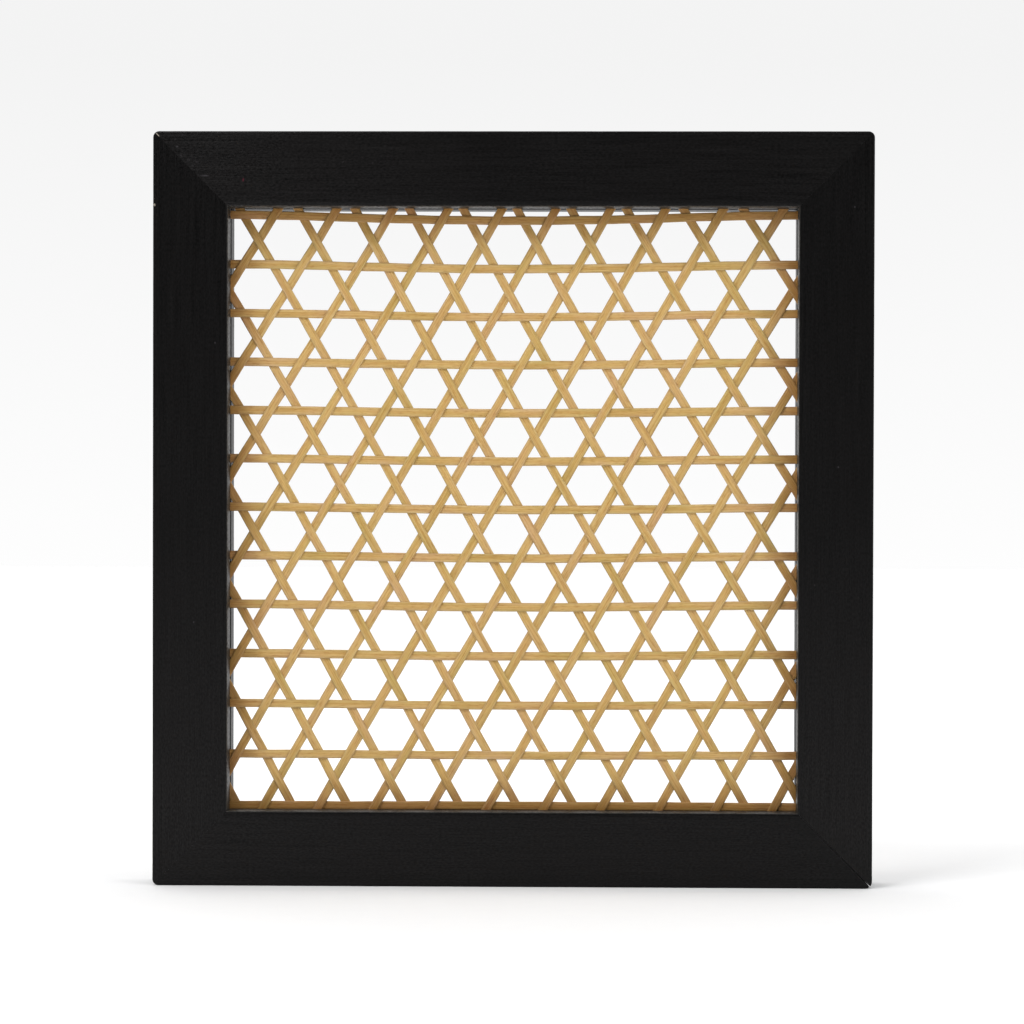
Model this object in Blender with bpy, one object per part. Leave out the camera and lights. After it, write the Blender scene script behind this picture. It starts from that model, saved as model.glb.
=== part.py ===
"""Bamboo lattice panel: four black mitred rails round an open hexagonal weave of bamboo strips.

Metres, +Z up. The panel stands on its bottom rail and faces -Y. X runs along its width,
and the origin is under the middle of the bottom rail.
"""

import math

import bmesh
import bpy
from mathutils import Vector

# Frame
PANEL_WIDTH = 0.250
PANEL_HEIGHT = 0.262
RAIL_FACE = 0.026
RAIL_THICKNESS = 0.020
CORNER_RADIUS = 0.0022
ARRIS_RADIUS = 0.0006
GROOVE_DEPTH = 0.005

# Weave: whole hexagons are counted along a level strip, and level strips from the bottom up.
# The inset is the distance of the first and the last level strip's middle from the opening's edge.
HEXAGONS_ACROSS = 10
LEVEL_STRIPS = 13
EDGE_STRIP_INSET = 0.0024
STRIP_WIDTH = 0.003
STRIP_THICKNESS = 0.0005

# How the weave, laid by hand, strays from an even one. The shift is to the left. The lean is to
# the right at the top and to the left at the bottom. The gathering draws hexagons between the
# middle and the sides inwards, and the taper does so above and undoes it below. The side bow is to
# the right at both sides. Level strips rise at their ends, and rows lie lower towards the bottom
# and the top, and closer to the middle there. The outermost rows spread back towards the frame,
# and still further at their ends, where they bow into the corners.
WEAVE_SHIFT = 0.0025
WEAVE_LEAN = 0.0009
WEAVE_GATHERING = 0.0008
WEAVE_TAPER = 0.00115
SIDE_BOW = 0.00085
END_RISE = 0.00085
ROW_DROP = 0.00135
ROW_TIGHTENING = 0.00095
EDGE_SPREAD = 0.00075
CORNER_SPREAD = 0.00105

# Fits: the clearance lies between pieces that touch each other in the real panel
CLEARANCE = 0.0003
STRIP_END_GAP = 0.001

# Smoothness of the round forms
CORNER_STEPS = 2
ARRIS_STEPS = 2
LEVEL_STRIP_SPANS = 3
SHARP_ANGLE = math.radians(35)

# Slanting strips are laid this many half rows beyond the weave's edge rows before they are trimmed
SPARE_HALF_ROWS = 3

# What follows from the sizes above
OPENING_WIDTH = PANEL_WIDTH - 2 * RAIL_FACE
OPENING_HEIGHT = PANEL_HEIGHT - 2 * RAIL_FACE
PANEL_MIDDLE = Vector((0, 0, PANEL_HEIGHT / 2))
SEAT_DEPTH = GROOVE_DEPTH - STRIP_END_GAP
COLUMN = OPENING_WIDTH / HEXAGONS_ACROSS
ROW = (OPENING_HEIGHT - 2 * EDGE_STRIP_INSET) / (LEVEL_STRIPS - 1)
LIFT = STRIP_THICKNESS + CLEARANCE
GROOVE_WIDTH = 2 * LIFT + STRIP_THICKNESS + 2 * CLEARANCE
MITRE_SET_BACK = CLEARANCE / math.sqrt(2)

# Slanting strips: the side their top leans to, the place of the family between columns, and the
# height of its strips towards the viewer where they meet a level strip and the other family.
# Rising strips pass over level ones, falling ones under them, and falling ones over rising ones.
SLANTING_FAMILIES = (
    ("rising_strip", 1, 3 / 4, LIFT, -LIFT / 2),
    ("falling_strip", -1, 1 / 4, -LIFT, LIFT / 2),
)


def clear_scene():
    for thing in list(bpy.data.objects):
        bpy.data.objects.remove(thing, do_unlink=True)


def make_material(name, colour, roughness):
    material = bpy.data.materials.new(name)
    material.use_nodes = True
    shader = material.node_tree.nodes["Principled BSDF"]
    shader.inputs["Base Color"].default_value = (*colour, 1)
    shader.inputs["Roughness"].default_value = roughness
    shader.inputs["Metallic"].default_value = 0
    return material


def add_object(name, mesh, material, place, turn):
    """Puts a bmesh into the scene, turned about the Y axis."""
    data = bpy.data.meshes.new(name)
    mesh.to_mesh(data)
    mesh.free()
    data.shade_smooth()
    data.set_sharp_from_angle(angle=SHARP_ANGLE)
    made = bpy.data.objects.new(name, data)
    made.location = place
    made.rotation_euler = (0, turn, 0)
    if material:
        data.materials.append(material)
    bpy.context.scene.collection.objects.link(made)
    return made


# Rails


def rail_outline(length):
    """A mitred rail from the front, as (along, inward) points, with half of each outer corner's arc."""
    arc_end = math.pi / 4 - math.asin(MITRE_SET_BACK / (math.sqrt(2) * CORNER_RADIUS))
    half = []
    for step in range(CORNER_STEPS + 1):
        angle = arc_end * step / CORNER_STEPS
        along = length / 2 - CORNER_RADIUS * (1 - math.sin(angle))
        inward = CORNER_RADIUS * (1 - math.cos(angle))
        half.append((along, inward))
    half.append((length / 2 - MITRE_SET_BACK - RAIL_FACE, RAIL_FACE))
    return half + [(-along, inward) for along, inward in reversed(half)]


def is_arris(edge, length):
    """Whether an edge runs along the front or the back of a rail, and isn't part of a mitre."""
    first, second = (vertex.co for vertex in edge.verts)
    runs_in_depth = abs(first.y - second.y) > RAIL_THICKNESS / 2
    mitre_reach = length / 2 - MITRE_SET_BACK
    on_mitre = all(
        math.isclose(abs(point.x) + point.z, mitre_reach, abs_tol=CLEARANCE / 100)
        for point in (first, second)
    )
    return not runs_in_depth and not on_mitre


def add_rail(name, length, place, turn, material, groove):
    mesh = bmesh.new()
    outline = rail_outline(length)
    corners = [mesh.verts.new((along, -RAIL_THICKNESS / 2, inward)) for along, inward in outline]
    front = mesh.faces.new(corners)
    raised = bmesh.ops.extrude_face_region(mesh, geom=[front])["geom"]
    back = [item for item in raised if isinstance(item, bmesh.types.BMVert)]
    bmesh.ops.translate(mesh, verts=back, vec=(0, RAIL_THICKNESS, 0))
    bmesh.ops.recalc_face_normals(mesh, faces=mesh.faces)
    arrises = [edge for edge in mesh.edges if is_arris(edge, length)]
    bmesh.ops.bevel(
        mesh,
        geom=arrises,
        offset=ARRIS_RADIUS,
        segments=ARRIS_STEPS,
        profile=0.5,
        affect="EDGES",
    )
    rail = add_object(name, mesh, material, place, turn)
    cut = rail.modifiers.new("groove", "BOOLEAN")
    cut.operation = "DIFFERENCE"
    cut.solver = "EXACT"
    cut.object = groove
    return rail


def add_groove_cutter():
    """The slab that the weave's groove takes out of all four rails."""
    mesh = bmesh.new()
    bmesh.ops.create_cube(mesh, size=1)
    size = (OPENING_WIDTH + 2 * GROOVE_DEPTH, GROOVE_WIDTH, OPENING_HEIGHT + 2 * GROOVE_DEPTH)
    bmesh.ops.scale(mesh, verts=mesh.verts, vec=size)
    cutter = add_object("groove_cutter", mesh, None, PANEL_MIDDLE, 0)
    cutter.hide_render = True
    cutter.display_type = "WIRE"
    return cutter


def add_rails():
    """Four lengths of one moulding, each turned so that its grooved edge faces the opening."""
    stained_wood = make_material("black_stained_wood", (0.011, 0.011, 0.012), 0.42)
    groove = add_groove_cutter()
    top = Vector((0, 0, PANEL_HEIGHT))
    side = Vector((PANEL_WIDTH / 2, 0, 0))
    bottom = Vector((0, 0, 0))
    add_rail("bottom_rail", PANEL_WIDTH, bottom, 0, stained_wood, groove)
    add_rail("left_stile", PANEL_HEIGHT, PANEL_MIDDLE - side, math.pi / 2, stained_wood, groove)
    add_rail("top_rail", PANEL_WIDTH, top, math.pi, stained_wood, groove)
    add_rail("right_stile", PANEL_HEIGHT, PANEL_MIDDLE + side, -math.pi / 2, stained_wood, groove)


# Weave


def swell(share):
    """A wave that is nought in the middle and at both edges, and reaches 1 and -1 between them."""
    peak = 2 / (3 * math.sqrt(3))
    return (share - share**3) / peak


def woven(x, z):
    """Where a point of an even weave lies in this one, both from the panel's middle."""
    sideways = max(-1, min(1, 2 * x / OPENING_WIDTH))
    upwards = max(-1, min(1, 2 * z / OPENING_HEIGHT))
    to_right = WEAVE_LEAN * upwards + SIDE_BOW * sideways**2
    drawn_in = swell(sideways) * (WEAVE_GATHERING + WEAVE_TAPER * upwards)
    spread = (EDGE_SPREAD + CORNER_SPREAD * sideways**2) * upwards**3 - ROW_TIGHTENING * upwards
    rise = END_RISE * sideways**2 - ROW_DROP * upwards**2 + spread
    return Vector((x + to_right - drawn_in, 0, z + rise))


def row_height(row):
    """The height over the panel's middle of a row, counted from the first level strip."""
    return (row - (LEVEL_STRIPS - 1) / 2) * ROW


def half_flat_length():
    """Half the length that a strip stays level for where another one crosses it."""
    slope_angle = math.atan2(2 * ROW, COLUMN)
    crossing_angle = min(slope_angle, math.pi - 2 * slope_angle)
    half_shadow = STRIP_WIDTH / 2 * (1 / math.sin(crossing_angle) + 1 / math.tan(crossing_angle))
    return half_shadow + CLEARANCE


def level_line(row):
    """(point, height) along a level strip, from beyond one side of its seat to beyond the other."""
    span = OPENING_WIDTH / LEVEL_STRIP_SPANS
    points = []
    for step in range(-1, LEVEL_STRIP_SPANS + 2):
        x = step * span - OPENING_WIDTH / 2
        points.append((woven(x, row_height(row)), 0))
    return points


def slanting_line(column, lean, height_at_level, height_at_slanting):
    """(point, height) at each crossing of a slanting strip, from below its seat to beyond its top."""
    middle_row = LEVEL_STRIPS // 2
    last_half_row = 2 * (LEVEL_STRIPS - 1)
    points = []
    for half_row in range(-SPARE_HALF_ROWS, last_half_row + SPARE_HALF_ROWS + 1):
        x = column * COLUMN - WEAVE_SHIFT + lean * (half_row / 2 - middle_row) * COLUMN / 2
        if abs(x) < OPENING_WIDTH / 2 + SEAT_DEPTH + COLUMN / 2:
            height = height_at_level if half_row % 2 == 0 else height_at_slanting
            points.append((woven(x, row_height(half_row / 2)), height))
    return points


def ribbon(line, half_flat):
    """A strip of constant section along a line of (point, height), facing -Y, flat at each point."""
    mesh = bmesh.new()
    rings = []
    points = [point for point, height in line]
    ahead = points[1:] + points[-1:]
    behind = points[:1] + points[:-1]
    for (point, height), following, previous in zip(line, ahead, behind):
        along = (following - previous).normalized()
        across = Vector((-along.z, 0, along.x)) * STRIP_WIDTH / 2
        front = Vector((0, -height - STRIP_THICKNESS / 2, 0))
        back = Vector((0, -height + STRIP_THICKNESS / 2, 0))
        section = (front - across, back - across, back + across, front + across)
        for reach in sorted({-half_flat, half_flat}):
            rings.append([mesh.verts.new(point + reach * along + corner) for corner in section])
    for ring, next_ring in zip(rings, rings[1:]):
        for side in range(4):
            mesh.faces.new((ring[side - 1], ring[side], next_ring[side], next_ring[side - 1]))
    mesh.faces.new(rings[0])
    mesh.faces.new(rings[-1])
    return mesh


def trim_to_seat(mesh):
    """Cuts a ribbon off where the weave's edge sits in the groove, and closes the cut ends."""
    reaches = (OPENING_WIDTH / 2 + SEAT_DEPTH, OPENING_HEIGHT / 2 + SEAT_DEPTH)
    for axis, reach in zip((Vector((1, 0, 0)), Vector((0, 0, 1))), reaches):
        for side in (-1, 1):
            bmesh.ops.bisect_plane(
                mesh,
                geom=mesh.verts[:] + mesh.edges[:] + mesh.faces[:],
                plane_co=side * reach * axis,
                plane_no=side * axis,
                clear_outer=True,
            )
            open_edges = [edge for edge in mesh.edges if edge.is_boundary]
            bmesh.ops.holes_fill(mesh, edges=open_edges)
    bmesh.ops.recalc_face_normals(mesh, faces=mesh.faces)


def add_strip(name, number, line, half_flat, material):
    """One strip, with its origin on its own middle line."""
    mesh = ribbon(line, half_flat)
    trim_to_seat(mesh)
    middle = line[len(line) // 2][0]
    bmesh.ops.translate(mesh, verts=mesh.verts, vec=-middle)
    add_object(f"{name}_{number:02d}", mesh, material, PANEL_MIDDLE + middle, 0)


def add_strips():
    """Level strips from the bottom up, then each slanting family from left to right."""
    bamboo = make_material("bamboo", (0.584, 0.356, 0.105), 0.48)
    for row in range(LEVEL_STRIPS):
        add_strip("level_strip", row + 1, level_line(row), 0, bamboo)
    half_flat = half_flat_length()
    count = HEXAGONS_ACROSS + math.ceil((LEVEL_STRIPS - 1) / 2)
    for name, lean, place, height_at_level, height_at_slanting in SLANTING_FAMILIES:
        for number in range(1, count + 1):
            column = number - 1 - count / 2 + place
            line = slanting_line(column, lean, height_at_level, height_at_slanting)
            add_strip(name, number, line, half_flat, bamboo)


clear_scene()
add_rails()
add_strips()
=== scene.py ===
# %% [markdown]
# # A bamboo lattice panel in a black wooden frame
#
# The real panel is a small upright frame of black stained wood, mitred at its corners, with an
# open hexagonal weave of split bamboo in it. Its solids come ready from the part's own packed
# model. This lesson dresses them: it rebuilds each rail and each strip with the fine form that
# the eye looks for, and gives wood and bamboo their finishes, with every size in millimetres.

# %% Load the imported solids
import math
import random

import bmesh
import bpy
import numpy as np
from mathutils import Euler, Matrix, Vector, noise


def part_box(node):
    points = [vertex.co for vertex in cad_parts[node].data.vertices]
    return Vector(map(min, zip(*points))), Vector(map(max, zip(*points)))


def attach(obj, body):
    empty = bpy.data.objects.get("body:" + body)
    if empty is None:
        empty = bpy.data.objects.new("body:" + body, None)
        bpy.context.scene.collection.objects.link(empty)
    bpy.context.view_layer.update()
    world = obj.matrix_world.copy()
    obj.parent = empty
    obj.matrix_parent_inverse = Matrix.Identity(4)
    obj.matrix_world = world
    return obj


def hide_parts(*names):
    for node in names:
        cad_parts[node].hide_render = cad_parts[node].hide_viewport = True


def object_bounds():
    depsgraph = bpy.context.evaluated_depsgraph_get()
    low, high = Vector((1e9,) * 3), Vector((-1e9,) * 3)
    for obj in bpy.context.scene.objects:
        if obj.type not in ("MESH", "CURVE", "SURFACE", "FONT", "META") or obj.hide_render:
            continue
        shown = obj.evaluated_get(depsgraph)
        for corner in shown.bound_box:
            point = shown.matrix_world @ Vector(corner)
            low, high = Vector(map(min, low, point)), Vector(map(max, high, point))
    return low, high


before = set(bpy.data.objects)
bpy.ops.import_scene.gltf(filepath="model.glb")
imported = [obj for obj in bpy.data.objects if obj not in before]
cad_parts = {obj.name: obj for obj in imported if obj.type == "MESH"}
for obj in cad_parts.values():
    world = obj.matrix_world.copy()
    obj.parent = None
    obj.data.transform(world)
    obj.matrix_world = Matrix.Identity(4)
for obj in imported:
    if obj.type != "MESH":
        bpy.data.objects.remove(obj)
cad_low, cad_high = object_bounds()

box_size = [round(size, 4) for size in cad_high - cad_low]
print(f"{len(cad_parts)} solids in a box of {box_size} m")

# %% [markdown]
# ## Sizes
#
# All later steps work in metres, as Blender does, and MM turns millimetres into them. The panel's
# own sizes are read from the solids, so the looks always fit them. Only what a box can't tell, such
# as the width of the groove that holds the weave, is written down here.

# %% Sizes read from the solids and the few that they can't tell
MM = 0.001
PANEL_WIDTH = cad_high.x - cad_low.x
PANEL_HEIGHT = cad_high.z - cad_low.z
PANEL_THICKNESS = cad_high.y - cad_low.y
RAIL_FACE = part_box("bottom_rail")[1].z - cad_low.z
PANEL_MIDDLE = Vector((0, 0, PANEL_HEIGHT / 2))
OPENING_WIDTH = PANEL_WIDTH - 2 * RAIL_FACE
OPENING_HEIGHT = PANEL_HEIGHT - 2 * RAIL_FACE
GROOVE_HALF_WIDTH = 1.35 * MM
GROOVE_DEPTH = 5 * MM
SEAT_DEPTH = 4 * MM
STRIP_WIDTH = 3 * MM
STRIP_THICKNESS = 0.5 * MM
print(f"Opening {OPENING_WIDTH / MM:.1f} x {OPENING_HEIGHT / MM:.1f} mm")
print(f"Rails {RAIL_FACE / MM:.1f} x {PANEL_THICKNESS / MM:.1f} mm")

# %% [markdown]
# ## Three helpers for materials
#
# Colours are easiest to judge as the hex values a colour picker shows, but Blender's shaders count
# in linear light, so one function turns the first into the second. Another one adds a node: it
# takes the node's kind, its settings and what goes into each socket, either a plain value or the
# socket of an earlier node. A third starts an empty material. All that follows is built from them.

# %% Colours and nodes


def linear(hex_colour):
    """Turns an sRGB hex colour into the linear RGBA that shaders use."""
    parts = [int(hex_colour[i : i + 2], 16) / 255 for i in (1, 3, 5)]
    return tuple(p / 12.92 if p <= 0.04045 else ((p + 0.055) / 1.055) ** 2.4 for p in parts) + (1,)


def add_node(tree, kind, inputs=None, **settings):
    """Adds a node, sets its properties, and fills its sockets with values or links."""
    node = tree.nodes.new(kind)
    for name, value in settings.items():
        setattr(node, name, value)
    for socket, value in (inputs or {}).items():
        if isinstance(value, bpy.types.NodeSocket):
            tree.links.new(value, node.inputs[socket])
        else:
            node.inputs[socket].default_value = value
    return node


# The Mix node keeps its sockets for numbers and for colours side by side, under the same names,
# so the colour ones are asked for by their place
COLOUR_A, COLOUR_B, COLOUR_OUT = 6, 7, 2


def empty_material(name):
    """A material with nothing in it but its output."""
    material = bpy.data.materials.new(name)
    material.use_nodes = True
    material.node_tree.nodes.clear()
    return material, material.node_tree


print(f"Middle grey #808080 is {linear('#808080')[0]:.3f} in linear light")

# %% [markdown]
# ## The camera
#
# The picture was taken from about a metre away, a little to the right of the middle and at
# half the panel's height, so the left and upper inner sides of the frame just show. The place and
# the long lens were worked out from where the frame's eight corners lie in the picture. The
# lens is shifted rather than turned, which keeps the frame's sides almost square, as a view
# camera does.

# %% Place the camera
CAMERA_PLACE = Vector((29.76, -1039.66, 129.76)) * MM
CAMERA_YAW, CAMERA_PITCH, CAMERA_ROLL = 1.0616, -0.6951, -0.1582
FOCAL_PIXELS = 2972.6
PICTURE_PIXELS = 1024
LENS_AXIS_PIXEL = (543.0, 549.35)
SENSOR_WIDTH = 36

camera_data = bpy.data.cameras.new("camera")
camera_data.sensor_width = SENSOR_WIDTH
camera_data.lens = FOCAL_PIXELS / PICTURE_PIXELS * SENSOR_WIDTH
camera_data.shift_x = (PICTURE_PIXELS / 2 - LENS_AXIS_PIXEL[0]) / PICTURE_PIXELS
camera_data.shift_y = (LENS_AXIS_PIXEL[1] - PICTURE_PIXELS / 2) / PICTURE_PIXELS
camera = bpy.data.objects.new("camera", camera_data)
bpy.context.scene.collection.objects.link(camera)
aim = (
    Matrix.Rotation(math.radians(CAMERA_YAW), 4, "Z")
    @ Matrix.Rotation(math.radians(CAMERA_PITCH), 4, "X")
    @ Matrix.Rotation(math.radians(CAMERA_ROLL), 4, "Y")
    @ Matrix.Rotation(math.radians(90), 4, "X")
)
camera.matrix_world = Matrix.Translation(CAMERA_PLACE) @ aim
bpy.context.scene.camera = camera
print(f"Lens {camera_data.lens:.1f} mm, shift {camera_data.shift_x:.4f}, {camera_data.shift_y:.4f}")

# %% [markdown]
# ## The studio
#
# A satin black surface mirrors what stands round it. The picture was taken in a white tent with an
# opening in front for the camera, so the frame's face mirrors that dark opening and stays black,
# while its inner sides, seen at a grazing angle, catch the white walls as thin grey lines. The
# world is that tent: white, a little brighter at its roof, with a dark cone round the direction of
# the camera. Seen directly, the tent's back wall is pure white near the floor and a shade greyer
# further up. A photographed studio could serve as the world, but a few nodes keep it all in sight.

# %% The white tent
TENT_WALL, TENT_ROOF = 1.0, 1.45
CAMERA_OPENING = 0.02
OPENING_EDGE = (-0.86, -0.5)
WALL_SEEN_LOW, WALL_SEEN_HIGH = 1.0, 0.9
WALL_HEIGHTS = (-0.04, 0.15)

scene = bpy.context.scene
scene.view_settings.view_transform = "Standard"
world = bpy.data.worlds.new("studio")
scene.world = world
world.use_nodes = True
studio = world.node_tree
studio.nodes.clear()
direction = add_node(studio, "ShaderNodeTexCoord")
toward = add_node(studio, "ShaderNodeSeparateXYZ", {0: direction.outputs["Generated"]})
cloth = add_node(
    studio,
    "ShaderNodeMapRange",
    {"Value": toward.outputs["Z"], "To Min": TENT_WALL, "To Max": TENT_ROOF},
)
beside_opening = add_node(
    studio,
    "ShaderNodeMapRange",
    {
        "Value": toward.outputs["Y"],
        "From Min": OPENING_EDGE[0],
        "From Max": OPENING_EDGE[1],
        "To Min": CAMERA_OPENING,
    },
    interpolation_type="SMOOTHSTEP",
)
brightness = add_node(
    studio,
    "ShaderNodeMath",
    {0: cloth.outputs["Result"], 1: beside_opening.outputs["Result"]},
    operation="MULTIPLY",
)
wall_seen = add_node(
    studio,
    "ShaderNodeMapRange",
    {
        "Value": toward.outputs["Z"],
        "From Min": WALL_HEIGHTS[0],
        "From Max": WALL_HEIGHTS[1],
        "To Min": WALL_SEEN_LOW,
        "To Max": WALL_SEEN_HIGH,
    },
)
ray = add_node(studio, "ShaderNodeLightPath")
strength = add_node(
    studio,
    "ShaderNodeMix",
    {
        "Factor": ray.outputs["Is Camera Ray"],
        "A": brightness.outputs["Value"],
        "B": wall_seen.outputs["Result"],
    },
)
tent = add_node(
    studio,
    "ShaderNodeBackground",
    {"Color": linear("#FFFFFF"), "Strength": strength.outputs["Result"]},
)
add_node(studio, "ShaderNodeOutputWorld", {"Surface": tent.outputs["Background"]})
print(f"Tent of {len(studio.nodes)} nodes")

# %% [markdown]
# Three soft boxes shine through the tent. The main one hangs high in front, a little to the left:
# it shades the weave under the top rail and lays thin shadows under the strips. A faint one lifts
# the right side, and one behind throws the panel's soft shadow forward on the floor.

# %% Soft boxes
# Each has its place and the length of its side in metres, and its power in watts
SOFT_BOXES = {
    "high_front_box": ((-0.5, -0.65, 1.42), 0.5, 9),
    "right_box": ((1.2, -0.6, 0.5), 0.6, 2.8),
    "back_left_box": ((-0.5, 0.9, 1.5), 0.9, 2.5),
}


def soft_box(name, place, size, power):
    """An area light at a place, turned towards the panel's middle."""
    data = bpy.data.lights.new(name, "AREA")
    data.shape = "SQUARE"
    data.size = size
    data.energy = power
    light = bpy.data.objects.new(name, data)
    light.location = place
    light.rotation_euler = (PANEL_MIDDLE - Vector(place)).to_track_quat("-Z", "Y").to_euler()
    scene.collection.objects.link(light)


for name, (place, size, power) in SOFT_BOXES.items():
    soft_box(name, place, size, power)
    print(f"{name}: {size} m square, {power} W")

# %% [markdown]
# The panel stands on matt white board, with a faint felt of its own. Round the panel, where the
# boxes shine straight down on it, the board is painted a shade greyer, painted shade that keeps the
# panel's soft shadow showing on it.

# %% White board
# The felt marks of board are some millimetres across and very faint
FELT_MARKS_PER_METRE = 120
BOARD_WHITE, FELT_MARK = "#F1F1F1", "#EEEEEF"
BOARD_ROUGHNESS, BOARD_SPECULAR = 0.9, 0.2
# Painted shade: round the panel the board is darkened to this share, fading out between these
# distances in metres
PAINTED_SHADE_FROM, PAINTED_SHADE_TO = 0.15, 0.6
PAINTED_FLOOR_SHADE = 0.83

floor_material, tree = empty_material("matt_white_board")
position = add_node(tree, "ShaderNodeTexCoord")
board_marks = add_node(
    tree,
    "ShaderNodeTexNoise",
    {"Vector": position.outputs["Object"], "Scale": FELT_MARKS_PER_METRE, "Detail": 3},
)
board_colour = add_node(
    tree,
    "ShaderNodeMix",
    {0: board_marks.outputs["Fac"], COLOUR_A: linear(BOARD_WHITE), COLOUR_B: linear(FELT_MARK)},
    data_type="RGBA",
)
away = add_node(
    tree, "ShaderNodeVectorMath", {0: position.outputs["Object"]}, operation="LENGTH"
)
# Painted shade, greyest near the panel
painted_shade_near_panel = add_node(
    tree,
    "ShaderNodeMapRange",
    {
        "Value": away.outputs["Value"],
        "From Min": PAINTED_SHADE_FROM,
        "From Max": PAINTED_SHADE_TO,
        "To Min": PAINTED_FLOOR_SHADE,
    },
)
board_colour = add_node(
    tree,
    "ShaderNodeVectorMath",
    {0: board_colour.outputs[COLOUR_OUT], "Scale": painted_shade_near_panel.outputs["Result"]},
    operation="SCALE",
)
board = add_node(
    tree,
    "ShaderNodeBsdfPrincipled",
    {
        "Base Color": board_colour.outputs["Vector"],
        "Roughness": BOARD_ROUGHNESS,
        "Specular IOR Level": BOARD_SPECULAR,
    },
)
add_node(tree, "ShaderNodeOutputMaterial", {"Surface": board.outputs["BSDF"]})
print(f"{floor_material.name}: {len(tree.nodes)} nodes")

# %% [markdown]
# The floor is one large square of that board. It runs far enough back for its far edge to lie near
# the horizon, where it blends into the tent's wall, so no curved backdrop is needed.

# %% Floor
FLOOR_REACH = 6

floor_mesh = bpy.data.meshes.new("floor")
corners = [
    (-FLOOR_REACH, -FLOOR_REACH, 0),
    (FLOOR_REACH, -FLOOR_REACH, 0),
    (FLOOR_REACH, FLOOR_REACH, 0),
    (-FLOOR_REACH, FLOOR_REACH, 0),
]
floor_mesh.from_pydata(corners, [], [(0, 1, 2, 3)])
floor_mesh.materials.append(floor_material)
floor = bpy.data.objects.new("floor", floor_mesh)
scene.collection.objects.link(floor)
print(f"A floor of {2 * FLOOR_REACH} m each way")

# %% [markdown]
# ## The frame's finish
#
# The frame is a straight-grained wood, stained black and rubbed down to a satin face. It is nearly
# black, a little lighter where the stain lies thin along the grain. The grain lines are 0.3 to
# 0.5 mm apart and run on for some centimetres, with short pores between them. A picture of wood
# could be wrapped round the rails, but noise needs no seams: one noise makes the lines and one the
# pores, each squeezed by its real sizes along the rail's own X axis.

# %% Grain and pores
GRAIN_SPACING, GRAIN_RUN = 0.45 * MM, 28 * MM
PORE_SPACING, PORE_RUN = 0.5 * MM, 1.1 * MM
PORE_SHARE = 0.65


def wood_grain(tree, place):
    """The long grain lines, the short pores between them, and the two together."""
    grain = add_node(
        tree,
        "ShaderNodeMapping",
        {"Vector": place, "Scale": (1 / GRAIN_RUN, 1 / GRAIN_SPACING, 1 / GRAIN_SPACING)},
    )
    lines = add_node(
        tree,
        "ShaderNodeTexNoise",
        {"Vector": grain.outputs["Vector"], "Scale": 1, "Detail": 4, "Roughness": 0.6},
    ).outputs["Fac"]
    pore = add_node(
        tree,
        "ShaderNodeMapping",
        {"Vector": place, "Scale": (1 / PORE_RUN, 1 / PORE_SPACING, 1 / PORE_SPACING)},
    )
    pores = add_node(
        tree,
        "ShaderNodeTexNoise",
        {"Vector": pore.outputs["Vector"], "Scale": 1, "Detail": 2},
    ).outputs["Fac"]
    both = add_node(tree, "ShaderNodeMix", {"Factor": PORE_SHARE, "A": lines, "B": pores})
    return lines, pores, both.outputs["Result"]


print(f"Grain lines {GRAIN_SPACING / MM:.2f} mm apart, pores {PORE_RUN / MM:.1f} mm long")

# %% [markdown]
# The stain went on with a brush. It lies thin along the lines of the grain and is uneven over some
# centimetres. On top of it each rail has painted shade and light: a paleness of its own, growing
# towards one end, which evens out how the lamps light the four rails.

# %% Stain with painted shade and light
DEEP_STAIN, THIN_STAIN, CLOUD_STAIN = "#040404", "#1F1E1E", "#131111"
THIN_STAIN_RANGE = (0.34, 0.74)
CLOUDS_PER_METRE = 45
CLOUD_START, CLOUD_SHARE = 0.35, 0.6
# Painted shade and light: each rail pales over this span from its middle, towards its paler end
PALER_END_SPAN = (10 * MM, 110 * MM)


def stain_with_painted_shade(tree, place, along, both, paler_end, painted_paleness):
    """The stain's colour, times painted shade and light going from the first paleness to the second
    towards the paler end.
    """
    clouds = add_node(
        tree,
        "ShaderNodeTexNoise",
        {"Vector": place, "Scale": CLOUDS_PER_METRE, "Detail": 3, "Roughness": 0.6},
    )
    faint_clouds = add_node(
        tree,
        "ShaderNodeMapRange",
        {"Value": clouds.outputs["Fac"], "From Min": CLOUD_START, "To Max": CLOUD_SHARE},
    )
    thin_stain = add_node(
        tree,
        "ShaderNodeMapRange",
        {"Value": both, "From Min": THIN_STAIN_RANGE[0], "From Max": THIN_STAIN_RANGE[1]},
    )
    rail_tone = add_node(
        tree,
        "ShaderNodeMix",
        {
            0: thin_stain.outputs["Result"],
            COLOUR_A: linear(DEEP_STAIN),
            COLOUR_B: linear(THIN_STAIN),
        },
        data_type="RGBA",
    )
    cloudy = add_node(
        tree,
        "ShaderNodeMix",
        {
            0: faint_clouds.outputs["Result"],
            COLOUR_A: rail_tone.outputs[COLOUR_OUT],
            COLOUR_B: linear(CLOUD_STAIN),
        },
        data_type="RGBA",
    )
    # Painted shade and light along the rail
    shade_along_rail = add_node(
        tree,
        "ShaderNodeMapRange",
        {
            "Value": along,
            "From Min": paler_end * PALER_END_SPAN[0],
            "From Max": paler_end * PALER_END_SPAN[1],
            "To Min": painted_paleness[0],
            "To Max": painted_paleness[1],
        },
    )
    scaled = add_node(
        tree,
        "ShaderNodeVectorMath",
        {0: cloudy.outputs[COLOUR_OUT], "Scale": shade_along_rail.outputs["Result"]},
        operation="SCALE",
    )
    return scaled.outputs["Vector"]


print(f"Stain {DEEP_STAIN}, {THIN_STAIN} where it is thin")

# %% [markdown]
# The side of each rail that faces the opening has the groove in its middle. In front of the groove
# it is sawn: its ridges are rubbed paler and shiny, and the hollows between them are rough and
# black. Behind the groove it is planed smooth. Where a point lies on the rail tells which is
# which, and the noise of the pores serves as ridges and hollows.

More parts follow.
